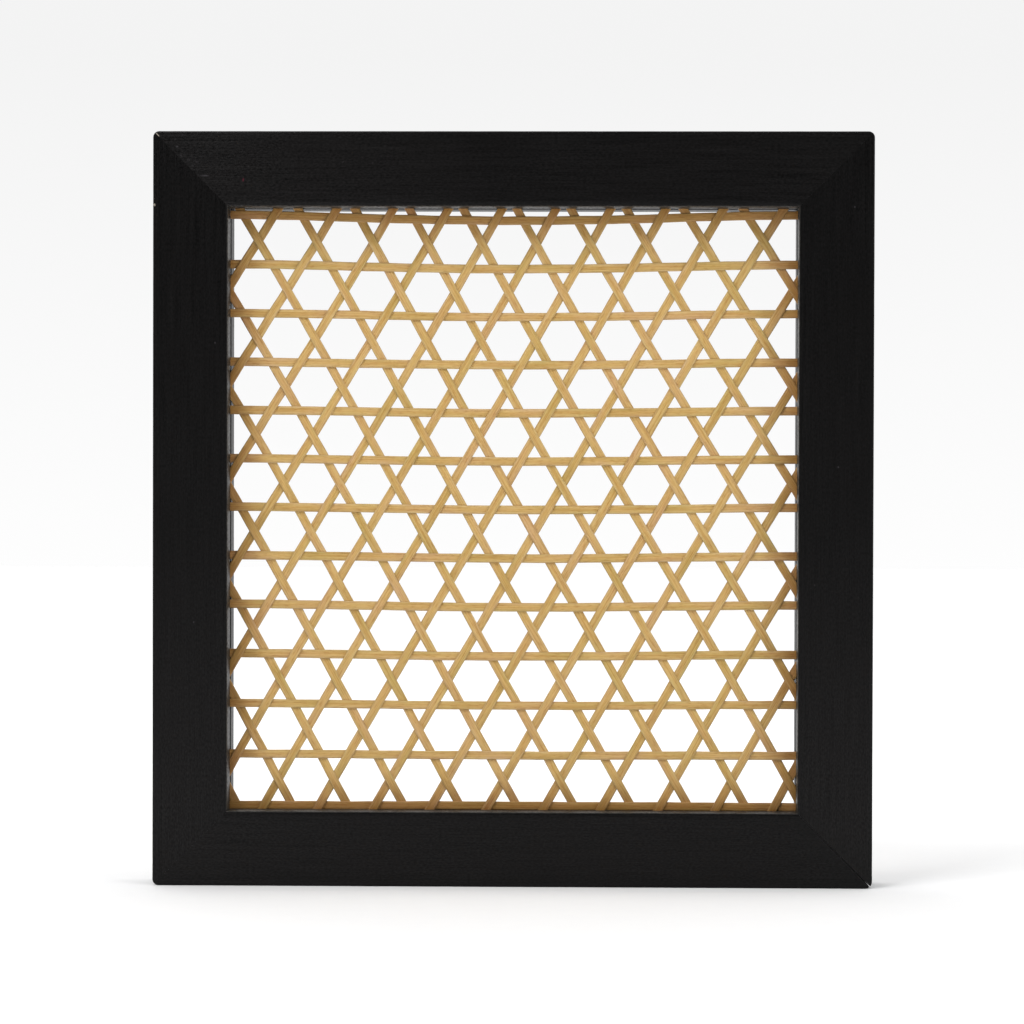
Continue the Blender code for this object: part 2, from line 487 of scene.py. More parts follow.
# %% The sawn and planed inner side
SIDE_EDGE = 0.3 * MM
RIDGE_RANGE = (0.38, 0.62)
RUBBED_RIDGE = "#383632"
HOLLOW_ROUGHNESS, RIDGE_ROUGHNESS = 0.6, 0.28
PLANED_RANGE = (0.35, 0.65)
PLANED_ROUGHNESS = (0.3, 0.5)


def cut_inner_side(tree, across, both, colour):
    """Adds the rubbed ridges to the colour, and finds where the side is and how rough."""
    on_side = add_node(
        tree,
        "ShaderNodeMapRange",
        {
            "Value": across["Z"],
            "From Min": RAIL_FACE - SIDE_EDGE,
            "From Max": RAIL_FACE - SIDE_EDGE / 2,
        },
    ).outputs["Result"]
    before_groove = add_node(
        tree,
        "ShaderNodeMath",
        {0: across["Y"], 1: -GROOVE_HALF_WIDTH},
        operation="LESS_THAN",
    )
    on_lip = add_node(
        tree,
        "ShaderNodeMath",
        {0: on_side, 1: before_groove.outputs["Value"]},
        operation="MULTIPLY",
    )
    ridges = add_node(
        tree,
        "ShaderNodeMapRange",
        {"Value": both, "From Min": RIDGE_RANGE[0], "From Max": RIDGE_RANGE[1]},
    ).outputs["Result"]
    rubbed = add_node(
        tree, "ShaderNodeMath", {0: on_lip.outputs["Value"], 1: ridges}, operation="MULTIPLY"
    )
    colour = add_node(
        tree,
        "ShaderNodeMix",
        {0: rubbed.outputs["Value"], COLOUR_A: colour, COLOUR_B: linear(RUBBED_RIDGE)},
        data_type="RGBA",
    ).outputs[COLOUR_OUT]
    sawn = add_node(
        tree, "ShaderNodeMix", {"Factor": ridges, "A": HOLLOW_ROUGHNESS, "B": RIDGE_ROUGHNESS}
    )
    planed = add_node(
        tree,
        "ShaderNodeMapRange",
        {
            "Value": both,
            "From Min": PLANED_RANGE[0],
            "From Max": PLANED_RANGE[1],
            "To Min": PLANED_ROUGHNESS[0],
            "To Max": PLANED_ROUGHNESS[1],
        },
    )
    behind_groove = add_node(
        tree, "ShaderNodeMath", {0: across["Y"], 1: 0}, operation="GREATER_THAN"
    )
    roughness = add_node(
        tree,
        "ShaderNodeMix",
        {
            "Factor": behind_groove.outputs["Value"],
            "A": sawn.outputs["Result"],
            "B": planed.outputs["Result"],
        },
    )
    return colour, on_side, roughness.outputs["Result"]


print(f"Inner sides with a groove {2 * GROOVE_HALF_WIDTH / MM:.1f} mm wide")

# %% [markdown]
# Knocks and drips have left small marks. A mark is the distance from its middle, stretched by its
# own sizes, and the pores make its rim ragged.

# %% Small marks
RAGGEDNESS = 1.4
MARK_RIM = (1.1, 1.8)


def lay_mark(tree, place, pores, colour, middle, sizes, tilt, hex_colour):
    """Lays one ragged mark over the colour, with its middle and sizes in the rail's axes."""
    in_mark = add_node(
        tree,
        "ShaderNodeMapping",
        {"Vector": place, "Location": middle, "Rotation": (0, -tilt, 0), "Scale": sizes},
        vector_type="TEXTURE",
    )
    away = add_node(
        tree, "ShaderNodeVectorMath", {0: in_mark.outputs["Vector"]}, operation="LENGTH"
    )
    ragged = add_node(
        tree,
        "ShaderNodeMath",
        {0: pores, 1: RAGGEDNESS, 2: away.outputs["Value"]},
        operation="MULTIPLY_ADD",
    )
    inside = add_node(
        tree,
        "ShaderNodeMapRange",
        {
            "Value": ragged.outputs["Value"],
            "From Min": MARK_RIM[0],
            "From Max": MARK_RIM[1],
            "To Min": 1,
            "To Max": 0,
        },
    )
    return add_node(
        tree,
        "ShaderNodeMix",
        {0: inside.outputs["Result"], COLOUR_A: colour, COLOUR_B: linear(hex_colour)},
        data_type="RGBA",
    ).outputs[COLOUR_OUT]


# %% [markdown]
# Wood has an IOR of about 1.5 and no metal. The rubbed face has a roughness of about a third, and
# its gloss breaks up along the grain. The open pores swallow much of what a polished face would
# mirror, so the specular level is low. The grain itself stands out by a hundredth of a millimetre,
# which no mesh needs to hold, so it is a bump.

# %% Black stained wood
GLOSS_RANGE = (0.3, 0.7)
FACE_ROUGHNESS = (0.28, 0.38)
WOOD_IOR, WOOD_SPECULAR = 1.5, 0.11
GRAIN_DEPTH = 0.012 * MM


def black_stained_wood(name, rail_tone, marks):
    """The stained wood of one rail: its tone is (paler end, paleness), the rail's painted shade and
    light; its marks as lay_mark's.
    """
    material, tree = empty_material(name)
    place = add_node(tree, "ShaderNodeTexCoord").outputs["Object"]
    across = add_node(tree, "ShaderNodeSeparateXYZ", {0: place}).outputs
    lines, pores, both = wood_grain(tree, place)
    colour = stain_with_painted_shade(tree, place, across["X"], both, *rail_tone)
    colour, on_side, side_roughness = cut_inner_side(tree, across, both, colour)
    for one_mark in marks:
        colour = lay_mark(tree, place, pores, colour, *one_mark)
    gloss = add_node(
        tree,
        "ShaderNodeMapRange",
        {
            "Value": lines,
            "From Min": GLOSS_RANGE[0],
            "From Max": GLOSS_RANGE[1],
            "To Min": FACE_ROUGHNESS[0],
            "To Max": FACE_ROUGHNESS[1],
        },
    )
    roughness = add_node(
        tree,
        "ShaderNodeMix",
        {"Factor": on_side, "A": gloss.outputs["Result"], "B": side_roughness},
    )
    relief = add_node(
        tree, "ShaderNodeBump", {"Height": both, "Distance": GRAIN_DEPTH, "Strength": 1}
    )
    wood = add_node(
        tree,
        "ShaderNodeBsdfPrincipled",
        {
            "Base Color": colour,
            "Roughness": roughness.outputs["Result"],
            "IOR": WOOD_IOR,
            "Specular IOR Level": WOOD_SPECULAR,
            "Normal": relief.outputs["Normal"],
        },
    )
    add_node(tree, "ShaderNodeOutputMaterial", {"Surface": wood.outputs["BSDF"]})
    print(f"{name}: {len(tree.nodes)} nodes")
    return material


# %% [markdown]
# ## The rails
#
# All four rails are cut from one moulding: a flat bar with slightly eased edges and a groove along
# its inner side, which holds the ends of the bamboo. It could be a box with a bevel, but a lofted
# bar is closer to how it is made. Its cross-section is drawn once, as a loop of points, and
# swept along the rail; each copy of the loop leans over towards the ends until the last one lies in
# the 45 degree mitre. Sanding then rounds the frame's outer corners, and a little noise eats
# into the edges, as hands do.

# %% The moulding's cross-section
EDGE_EASING = 0.6 * MM
GROOVE_EASING = 0.12 * MM
FACE_SPACING = 1.6 * MM
ARC_STEPS = 4


def eased_corner(before, corner, after, radius):
    """Points of a small arc that replaces a right-angled corner."""
    to_before = (before - corner).normalized() * radius
    to_after = (after - corner).normalized() * radius
    centre = corner + to_before + to_after
    start = corner + to_before - centre
    end = corner + to_after - centre
    arc = []
    for step in range(ARC_STEPS + 1):
        turn = math.pi / 2 * step / ARC_STEPS
        arc.append(centre + start * math.cos(turn) + end * math.sin(turn))
    return arc


def moulding_section():
    """The loop of (inward, depth) points round the moulding, from its outer front edge."""
    half = PANEL_THICKNESS / 2
    floor_of_groove = RAIL_FACE - GROOVE_DEPTH
    plan = [
        ((0, -half), EDGE_EASING),
        ((RAIL_FACE, -half), EDGE_EASING),
        ((RAIL_FACE, -GROOVE_HALF_WIDTH), GROOVE_EASING),
        ((floor_of_groove, -GROOVE_HALF_WIDTH), GROOVE_EASING),
        ((floor_of_groove, GROOVE_HALF_WIDTH), GROOVE_EASING),
        ((RAIL_FACE, GROOVE_HALF_WIDTH), GROOVE_EASING),
        ((RAIL_FACE, half), EDGE_EASING),
        ((0, half), EDGE_EASING),
    ]
    loop = []
    for number, (corner, radius) in enumerate(plan):
        before = Vector(plan[number - 1][0])
        after = Vector(plan[(number + 1) % len(plan)][0])
        loop += eased_corner(before, Vector(corner), after, radius)
    spaced = []
    for point, next_point in zip(loop, loop[1:] + loop[:1]):
        pieces = max(1, round((next_point - point).length / FACE_SPACING))
        spaced += [point.lerp(next_point, piece / pieces) for piece in range(pieces)]
    return spaced


section = moulding_section()
print(f"{len(section)} points round the moulding")

# %% [markdown]
# The stations along a rail stand close together near the mitres, where the outer corner is
# rounded, and further apart between. The corner's rounding moves each point of the little square
# at the corner onto a quarter disc, so the front edges follow it round.

# %% Stations and the rounded corner
CORNER_RADIUS = 2.2 * MM
STATION_SPACING = 2.5 * MM
# Millimetres from the end
END_STATIONS = [0, 0.25, 0.5, 0.8, 1.1, 1.5, 1.9, 2.4, 3, 4, 5.5, 7.5]


def stations(half_length):
    """Distances along the rail's outer side, from one end to the other."""
    near = [half_length - offset * MM for offset in END_STATIONS]
    count = round(2 * near[-1] / STATION_SPACING)
    between = [near[-1] * (2 * step / count - 1) for step in range(1, count)]
    return [-place for place in near] + between + near[::-1]


def round_the_corner(along, inward, half_length):
    """Moves a point near a sharp outer corner onto the sanded, rounded one."""
    from_end = half_length - abs(along)
    if from_end >= CORNER_RADIUS or inward >= CORNER_RADIUS:
        return along, inward
    arm = Vector((CORNER_RADIUS - from_end, CORNER_RADIUS - inward))
    arm *= max(arm) / arm.length
    return math.copysign(half_length - CORNER_RADIUS + arm.x, along), CORNER_RADIUS - arm.y


print(f"{len(stations(PANEL_WIDTH / 2))} stations along the top and bottom rails")

# %% [markdown]
# A plane leaves long, shallow waves, and hands wear small bites out of the edges. Both are noise
# that moves a point towards the rail's middle line. One joint of the real frame, at the lower
# right, has opened a little from its outer corner inwards, and the corner itself is chipped back.

# %% Wear and the open joint
WAVINESS, WAVE_RUN = 0.025 * MM, 9 * MM
WEAR_DEPTH, BITE_RUN = 0.07 * MM, 1.1 * MM
FLUSH_LENGTH = 4 * MM
MITRE_GAP = 0.001 * MM
OPEN_LINE, OPEN_LINE_LENGTH = 0.14 * MM, 42 * MM
OPEN_CORNER, OPEN_CORNER_LENGTH = 0.34 * MM, 2.4 * MM


def edge_wear(inward, depth):
    """1 on the moulding's long edges, falling to 0 a millimetre away from them."""
    to_front = PANEL_THICKNESS / 2 - abs(depth)
    to_side = min(inward, RAIL_FACE - inward)
    return max(0, 1 - math.hypot(to_front, to_side) / MM)


def mitre_opening(corner_distance):
    """How far an opened joint stands back, at a distance from the frame's outer corner."""
    line = OPEN_LINE * max(0, 1 - corner_distance / OPEN_LINE_LENGTH)
    return line + OPEN_CORNER * max(0, 1 - corner_distance / OPEN_CORNER_LENGTH) ** 2


def wear_at(point, along, rounded, inward, depth, half_length, offset):
    """How deep the wood is worn at a point of the moulding."""
    wave = 0.5 + 0.5 * noise.noise(point / WAVE_RUN + offset)
    bite = (0.5 + 0.5 * noise.noise(point / BITE_RUN + offset)) ** 2
    # Both rails were rubbed down together at a joint, so they are flush there
    flush = min(1, abs(half_length - abs(along) - rounded) / FLUSH_LENGTH)
    return flush * (WAVINESS * wave + WEAR_DEPTH * bite * edge_wear(inward, depth))


print(f"Open joint: {OPEN_LINE / MM:.2f} mm wide over {OPEN_LINE_LENGTH / MM:.0f} mm")

# %% [markdown]
# Now the loop of points is swept along X, station by station, into a closed mesh. It is turned
# into its place in the frame only as an object, so the mesh and its grain keep the rail's own X
# axis. The piece then rides on the part and stands for its solid.

# %% Sweep a rail
SHARP_EDGE = math.radians(50)


def rail_mesh(name, half_length, open_end):
    """Sweeps the moulding along X, between its mitres."""
    offset = Vector((sum(map(ord, name)), 0, 0))
    mesh = bmesh.new()
    rings = []
    for station in stations(half_length):
        ring = []
        for inward, depth in section:
            along = station * (half_length - inward - MITRE_GAP) / half_length
            along, rounded = round_the_corner(along, inward, half_length)
            corner_distance = math.hypot(half_length - abs(along), rounded)
            if along * open_end > 0:
                along -= open_end * mitre_opening(corner_distance)
            point = Vector((along, depth, rounded))
            wear = wear_at(point, along, rounded, inward, depth, half_length, offset)
            middle = Vector((along, 0, RAIL_FACE / 2))
            towards = middle - point
            towards.x = 0
            ring.append(mesh.verts.new(point + towards.normalized() * wear))
        rings.append(ring)
    for ring, ahead in zip(rings, rings[1:]):
        for number in range(len(ring)):
            mesh.faces.new((ring[number - 1], ring[number], ahead[number], ahead[number - 1]))
    mesh.faces.new(rings[0])
    mesh.faces.new(rings[-1])
    bmesh.ops.recalc_face_normals(mesh, faces=mesh.faces)
    data = bpy.data.meshes.new(name)
    mesh.to_mesh(data)
    mesh.free()
    data.shade_smooth()
    data.set_sharp_from_angle(angle=SHARP_EDGE)
    return data


def add_rail(name, length, place, turn, open_end, rail_tone, marks):
    """Makes a rail and turns it into its place in the frame. An open end is 1 or -1 along X."""
    data = rail_mesh(name, length / 2, open_end)
    data.materials.append(black_stained_wood(f"black_stained_wood_of_{name}", rail_tone, marks))
    rail = bpy.data.objects.new(f"stained_{name}", data)
    rail.location = place
    rail.rotation_euler = Euler((0, turn, 0))
    scene.collection.objects.link(rail)
    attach(rail, "root")
    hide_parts(name)
    return rail


# %% [markdown]
# Every rail has the same shape, but each has its own small marks: a sliver of pale wood where two
# mitres meet, a nick in an edge, scuffs beside a joint, specks in the stain. A mark is given by
# its place on the rail, along it from the middle and inwards from its outer side, its length and
# width, all in millimetres, and its tilt in degrees.

# %% Where the marks lie
PALE_WOOD, SCUFF, FAINT_SCUFF, RED_SPECK = "#9B9387", "#343234", "#272526", "#451C26"
FRONT = -PANEL_THICKNESS / 2
MARK_DEPTH = 0.8


def mark(along, inward, length, width, tilt, colour):
    """A mark on a rail's front face."""
    middle = Vector((along, 0, inward)) * MM + Vector((0, FRONT, 0))
    sizes = Vector((length / 2, MARK_DEPTH, width / 2)) * MM
    return middle, sizes, math.radians(tilt), colour


top_marks = [
    mark(123.3, 1.4, 2.0, 0.4, -45, PALE_WOOD),
    mark(117.2, 2.9, 0.9, 0.6, 20, FAINT_SCUFF),
    mark(114.7, 1.4, 1.0, 0.6, 0, FAINT_SCUFF),
    mark(116.6, 5.5, 1.1, 0.7, 0, SCUFF),
    mark(115.2, 8.6, 1.2, 0.7, -45, FAINT_SCUFF),
    mark(112.6, 10.0, 1.3, 0.8, -30, FAINT_SCUFF),
    mark(109.7, 10.7, 1.4, 0.7, 10, FAINT_SCUFF),
    mark(111.2, 12.0, 1.1, 0.8, 0, FAINT_SCUFF),
    mark(107.0, 15.5, 3.2, 0.65, 0, SCUFF),
    mark(93.6, 17.0, 1.6, 0.7, 80, RED_SPECK),
    mark(59.0, 10.8, 1.2, 0.5, 30, FAINT_SCUFF),
    mark(48.7, 11.1, 0.8, 0.5, 0, FAINT_SCUFF),
]
left_marks = [
    mark(-105.4, 0.5, 0.9, 0.9, 0, PALE_WOOD),
    mark(-57.6, 21.7, 0.8, 0.5, 0, SCUFF),
    mark(39.4, 14.4, 0.8, 0.5, 0, SCUFF),
    mark(94.2, 22.0, 0.8, 0.5, 0, FAINT_SCUFF),
]
right_marks = [
    mark(104.8, 6.9, 0.8, 0.5, 0, SCUFF),
    mark(15.0, 12.3, 0.8, 0.6, 0, SCUFF),
    mark(-25.9, 20.3, 0.8, 0.5, 0, FAINT_SCUFF),
]
bottom_marks = [mark(105.0, 24.6, 0.9, 0.5, 0, FAINT_SCUFF)]
print(f"{len(top_marks + left_marks + right_marks + bottom_marks)} marks")

# %% [markdown]
# Every rail also has painted shade and light of its own, and the mitre between the bottom rail and
# the right stile is the one that has opened. The rails are the same moulding, cut to two lengths
# and turned by quarter turns, so that each one's front stays in front and its groove faces inwards.

# %% Make the four rails
half_panel = Vector((PANEL_WIDTH / 2, 0, 0))
left_side, right_side = PANEL_MIDDLE - half_panel, PANEL_MIDDLE + half_panel
underside, top = Vector((0, 0, 0)), Vector((0, 0, PANEL_HEIGHT))
half_turn, quarter_turn = math.pi, math.pi / 2
# Painted shade and light: the paler end, 1 or -1 along the rail's X axis, and how the rail pales on
# the way to it
bottom_painted_shade = (-1, (1, 1.2))
left_painted_shade = (1, (0.68, 1.3))
top_painted_shade = (1, (0.85, 1.5))
right_painted_shade = (-1, (0.63, 1.3))
rails = [
    add_rail("bottom_rail", PANEL_WIDTH, underside, 0, 1, bottom_painted_shade, bottom_marks),
    add_rail("left_stile", PANEL_HEIGHT, left_side, quarter_turn, 0, left_painted_shade, left_marks),
    add_rail("top_rail", PANEL_WIDTH, top, half_turn, 0, top_painted_shade, top_marks),
    add_rail("right_stile", PANEL_HEIGHT, right_side, -quarter_turn, -1, right_painted_shade, right_marks),
]
print(f"{sum(len(rail.data.polygons) for rail in rails)} faces in the frame")

# %% [markdown]
# ## Bamboo
#
# The strips are split from a bamboo cane and shaved to half a millimetre. Bamboo is a grass: its
# wood is a pale ground with darker fibre bundles that run dead straight along the strip, a third of
# a millimetre apart, and it has no rings. The pattern could lie on unwrapped coordinates, but those
# stretch. Instead each strip's mesh carries a vector called fibre, which tells in metres how far
# along and across the strip a point lies, and which strip it is, so the pattern follows every bend
# at its real size. The colour of the ground wanders along and between strips, from the olive of the
# cane's skin side to the pinkish tan of the inner wood.

# %% Tone of the cane
TONE_RUN, TONE_SPREAD = 26 * MM, 6 * MM
CANE_TONES = {0.3: "#C3AA66", 0.5: "#D0B173", 0.72: "#CEAB7D"}


def fill_ramp(ramp, stops):
    """Gives a colour ramp its stops, from a position to a hex colour each."""
    elements = ramp.color_ramp.elements
    while len(elements) < len(stops):
        elements.new(0.5)
    for element, (position, hex_colour) in zip(elements, sorted(stops.items())):
        element.position = position
        element.color = linear(hex_colour)


def cane_tone(tree, fibre):
    """The colour of the ground, between the bundles."""
    tone_place = add_node(
        tree,
        "ShaderNodeVectorMath",
        {0: fibre, 1: (1 / TONE_RUN, 1 / TONE_SPREAD, 1)},
        operation="MULTIPLY",
    )
    tone = add_node(
        tree,
        "ShaderNodeTexNoise",
        {"Vector": tone_place.outputs["Vector"], "Scale": 1, "Detail": 3, "Roughness": 0.6},
    )
    ramp = add_node(tree, "ShaderNodeValToRGB", {"Fac": tone.outputs["Fac"]})
    fill_ramp(ramp, CANE_TONES)
    return ramp.outputs["Color"]


print(f"Cane tones {', '.join(CANE_TONES.values())}")

# %% [markdown]
# The bundles and the fine flecks between them darken the ground. A dark bundle lets less blue
# through than red, so it looks browner and not just darker, and its tint is a colour.

# %% Fibre bundles and flecks
FIBRE_SPACING, FIBRE_RUN = 0.38 * MM, 22 * MM
# Real flecks lie about 0.1 mm apart, too fine for a picture of this size, so they are drawn coarser
FLECK_SPACING, FLECK_RUN = 0.3 * MM, 2.6 * MM
BUNDLE_TINT, BUNDLE_RANGE = "#E8D9C0", (0.34, 0.62)
FLECK_TINT, FLECK_RANGE = "#E8DAC5", (0.3, 0.48)
NO_TINT = "#FFFFFF"


def tint_below(tree, value, limits, tint):
    """A tint where a value lies below its limits, fading to none above them."""
    above = add_node(
        tree,
        "ShaderNodeMapRange",
        {"Value": value, "From Min": limits[0], "From Max": limits[1]},
    )
    return add_node(
        tree,
        "ShaderNodeMix",
        {0: above.outputs["Result"], COLOUR_A: linear(tint), COLOUR_B: linear(NO_TINT)},
        data_type="RGBA",
    ).outputs[COLOUR_OUT]


def fibre_tints(tree, fibre):
    """The height of the bundles, and the tints of bundles and flecks."""
    bundle_place = add_node(
        tree,
        "ShaderNodeVectorMath",
        {0: fibre, 1: (1 / FIBRE_RUN, 1 / FIBRE_SPACING, 1)},
        operation="MULTIPLY",
    )
    bundles = add_node(
        tree,
        "ShaderNodeTexNoise",
        {"Vector": bundle_place.outputs["Vector"], "Scale": 1, "Detail": 2, "Roughness": 0.6},
    ).outputs["Fac"]
    fleck_place = add_node(
        tree,
        "ShaderNodeVectorMath",
        {0: fibre, 1: (1 / FLECK_RUN, 1 / FLECK_SPACING, 1)},
        operation="MULTIPLY",
    )
    flecks = add_node(
        tree, "ShaderNodeTexNoise", {"Vector": fleck_place.outputs["Vector"], "Scale": 1}
    ).outputs["Fac"]
    bundle_tint = tint_below(tree, bundles, BUNDLE_RANGE, BUNDLE_TINT)
    fleck_tint = tint_below(tree, flecks, FLECK_RANGE, FLECK_TINT)
    return bundles, bundle_tint, fleck_tint


print(f"Bundles {FIBRE_SPACING / MM:.2f} mm apart, flecks {FLECK_SPACING / MM:.1f} mm")

# %% [markdown]
# The middle of a strip is a deeper gold, its own colour. Its split edges are painted a little
# darker and greyer, as painted shade where they round off. The ends are painted browner and darker,
# as the painted shade that the frame casts on them.

# %% Edges and ends
# Painted shade at the strips' edges; the gold of the middle is the cane's own
SECTION_TINTS_AND_EDGE_SHADE = {0.15: "#FFF8E8", 0.68: "#FFFFFF", 1: "#EBECF5"}
# Painted shade: the strips' ends are browner and darker near the frame, over this reach
FRAME_SHADE_TINT, FRAME_SHADE_REACH = "#D6C0A6", 13 * MM


def gold_middle_and_edge_shade(tree, fibre):
    """The gold of a strip's middle line, and the painted shade of its edges."""
    across = add_node(tree, "ShaderNodeSeparateXYZ", {0: fibre})
    from_middle = add_node(
        tree, "ShaderNodeMath", {0: across.outputs["Y"]}, operation="ABSOLUTE"
    )
    to_edge = add_node(
        tree,
        "ShaderNodeMath",
        {0: from_middle.outputs["Value"], 1: 2 / STRIP_WIDTH},
        operation="MULTIPLY",
    )
    ramp = add_node(tree, "ShaderNodeValToRGB", {"Fac": to_edge.outputs["Value"]})
    fill_ramp(ramp, SECTION_TINTS_AND_EDGE_SHADE)
    return ramp.outputs["Color"]


def painted_frame_shade(tree):
    """The painted shade near the frame, where its rails shade the strips' ends."""
    from_frame = add_node(tree, "ShaderNodeAttribute", attribute_name="from_frame")
    return tint_below(tree, from_frame.outputs["Fac"], (0, FRAME_SHADE_REACH), FRAME_SHADE_TINT)


print(f"Ends browner over {FRAME_SHADE_REACH / MM:.0f} mm")

# %% [markdown]
# Bare and scraped, bamboo is a satin surface with a roughness of about 0.5 and an IOR of 1.5. Its
# colour is the ground, multiplied by each tint in turn, and the bundles stand out as a bump.

# %% Split bamboo
CANE_ROUGHNESS, CANE_IOR = 0.5, 1.5
FIBRE_DEPTH = 0.012 * MM


def split_bamboo():
    """The material of all strips."""
    material, tree = empty_material("split_bamboo")
    fibre = add_node(tree, "ShaderNodeAttribute", attribute_name="fibre").outputs["Vector"]
    bundles, bundle_tint, fleck_tint = fibre_tints(tree, fibre)
    colour = cane_tone(tree, fibre)
    # Two of these tints are painted shade: at the strips' edges, and at their ends near the frame
    for tint in (bundle_tint, fleck_tint, gold_middle_and_edge_shade(tree, fibre), painted_frame_shade(tree)):
        colour = add_node(
            tree, "ShaderNodeVectorMath", {0: colour, 1: tint}, operation="MULTIPLY"
        ).outputs["Vector"]
    relief = add_node(
        tree, "ShaderNodeBump", {"Height": bundles, "Distance": FIBRE_DEPTH, "Strength": 1}
    )
    cane = add_node(
        tree,
        "ShaderNodeBsdfPrincipled",
        {
            "Base Color": colour,
            "Roughness": CANE_ROUGHNESS,
            "IOR": CANE_IOR,
            "Normal": relief.outputs["Normal"],
        },
    )
    add_node(tree, "ShaderNodeOutputMaterial", {"Surface": cane.outputs["BSDF"]})
    print(f"{material.name}: {len(tree.nodes)} nodes")
    return material


bamboo = split_bamboo()

# %% [markdown]
# ## Where the strips run
#
# The solids already hold the plan of the weave, with every strip's slight stray from a perfect
# grid, but they bend in straight ramps. The middle line of each is read from its solid: its
# longest direction gives an axis, and a low polynomial through its corners gives the bow. Splitting
# the corners into the two sides of the strip first keeps the trimmed ends from tilting the curve.

# %% Middle lines
WANDER, WANDER_RUN = 0.12 * MM, 35 * MM
FIRST_SEED, SEED_STEP = 10, 3.7
# A strip gets one more bend for each such length, up to the most
BEND_LENGTH, MOST_BENDS = 50 * MM, 3
SEARCH_STEP = 0.25 * MM
# Every middle line runs upwards, or to the right where it is level
UP_AND_A_LITTLE_RIGHT = np.array([0.1, 1])


class Strip:
    """One woven strip: its middle line as seen from the front, and what it meets on the way."""

    def __init__(self, node, number):
        self.name = node.name
        self.family = node.name.split("_")[0]
        self.seed = FIRST_SEED + SEED_STEP * number
        corners = np.array([(v.co.x, v.co.z - PANEL_MIDDLE.z) for v in node.data.vertices])
        self.centre = corners.mean(axis=0)
        self.along = np.linalg.svd(corners - self.centre, full_matrices=False)[2][0]
        if self.along @ UP_AND_A_LITTLE_RIGHT < 0:
            self.along = -self.along
        self.across = np.array([-self.along[1], self.along[0]])
        distance = (corners - self.centre) @ self.along
        offset = (corners - self.centre) @ self.across
        degree = 1 + min(MOST_BENDS, int(np.ptp(distance) / BEND_LENGTH))
        side = np.sign(offset - np.polyval(np.polyfit(distance, offset, degree), distance))
        self.bend = np.polyfit(distance, offset - side * STRIP_WIDTH / 2, degree)
        steps = np.arange(distance.min(), distance.max(), SEARCH_STEP)
        seat = np.array([OPENING_WIDTH, OPENING_HEIGHT]) / 2 + SEAT_DEPTH
        inside = [step for step in steps if (abs(self.at(step)) < seat).all()]
        self.start, self.end = inside[0], inside[-1]
        self.meets = []

    def at(self, distance):
        """The place of the middle line, from the panel's middle."""
        wander = WANDER * noise.noise(Vector((distance / WANDER_RUN, self.seed, 0)))
        aside = np.polyval(self.bend, distance) + wander
        return self.centre + distance * self.along + aside * self.across

    def heading(self, distance):
        """The direction of the middle line."""
        step = self.at(distance + MM) - self.at(distance - MM)
        return step / np.linalg.norm(step)


strips = [
    Strip(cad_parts[name], number)
    for number, name in enumerate(sorted(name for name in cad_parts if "strip" in name))
]
bamboo_length = sum(strip.end - strip.start for strip in strips)
print(f"{len(strips)} strips, {bamboo_length:.2f} m of bamboo in all")

# %% [markdown]
# ## Over and under
#
# In this weave every strip passes over one family and under the other in turn, and the rule runs
# in a circle: rising over level, level over falling, falling over rising. Where two middle lines
# cross is found by stepping along both until they meet. Each strip then gets a height there, up
# for over and down for under, half a strip's thickness and a hair's breadth, so two strips
# touch but never cut into each other.

# %% Find the crossings
PASSES_OVER = {("rising", "level"), ("level", "falling"), ("falling", "rising")}
HAIR = 0.012 * MM
HALF_LIFT = STRIP_THICKNESS / 2 + HAIR
BEYOND_ENDS = 3 * MM
TRIES = 6


def crossing(first, second):
    """How far along each of two strips their middle lines cross, or None."""
    places = np.zeros(2)
    for _ in range(TRIES):
        gap = second.at(places[1]) - first.at(places[0])
        places += np.linalg.solve(
            np.column_stack([first.heading(places[0]), -second.heading(places[1])]), gap
        )
    for strip, place in zip((first, second), places):
        if not strip.start - BEYOND_ENDS < place < strip.end + BEYOND_ENDS:
            return None
    return places


crossings = 0
for upper in strips:
    for lower in strips:
        if (upper.family, lower.family) in PASSES_OVER:
            places = crossing(upper, lower)
            if places is not None:
                upper.meets.append((places[0], HALF_LIFT))
                lower.meets.append((places[1], -HALF_LIFT))
                crossings += 1
for strip in strips:
    strip.meets.sort()
print(f"{crossings} crossings")

# %% [markdown]
# ## The ribbons
#
# Springy bamboo lies flat where another strip presses on it and swings over to the other side in
# between, in a soft S. Each ribbon is swept along its middle line with that height, its
# cross-section tilted to the slope. A curve with a bevel could do it too, but wouldn't keep the
# strip's faces turned to the front. The section is a superellipse, which is what a shaved strip
# looks like: flat faces, faintly crowned, and rounded edges.

# %% Height and cross-section
HALF_FLAT = 2.2 * MM
SECTION_POINTS = 20
SECTION_POWER = 3.4


def height_at(strip, distance):
    """How far the strip's middle stands towards the viewer."""
    before = [meet for meet in strip.meets if meet[0] <= distance]
    after = [meet for meet in strip.meets if meet[0] > distance]
    if not before or not after:
        return (before[-1] if before else after[0])[1]
    (from_place, from_height), (to_place, to_height) = before[-1], after[0]
    share = (distance - from_place - HALF_FLAT) / (to_place - from_place - 2 * HALF_FLAT)
    share = max(0, min(1, share))
    return from_height + (to_height - from_height) * share * share * (3 - 2 * share)


def superellipse():
    """Points round a strip's section, 1 at its edges and faces."""
    points = []
    for number in range(SECTION_POINTS):
        turn = 2 * math.pi * number / SECTION_POINTS
        wide, thick = (
            math.copysign(abs(wave) ** (2 / SECTION_POWER), wave)
            for wave in (math.cos(turn), math.sin(turn))
        )
        points.append((wide, thick))
    return points


print(f"{SECTION_POINTS} points round a strip, {2 * HALF_FLAT / MM:.1f} mm flat at a crossing")

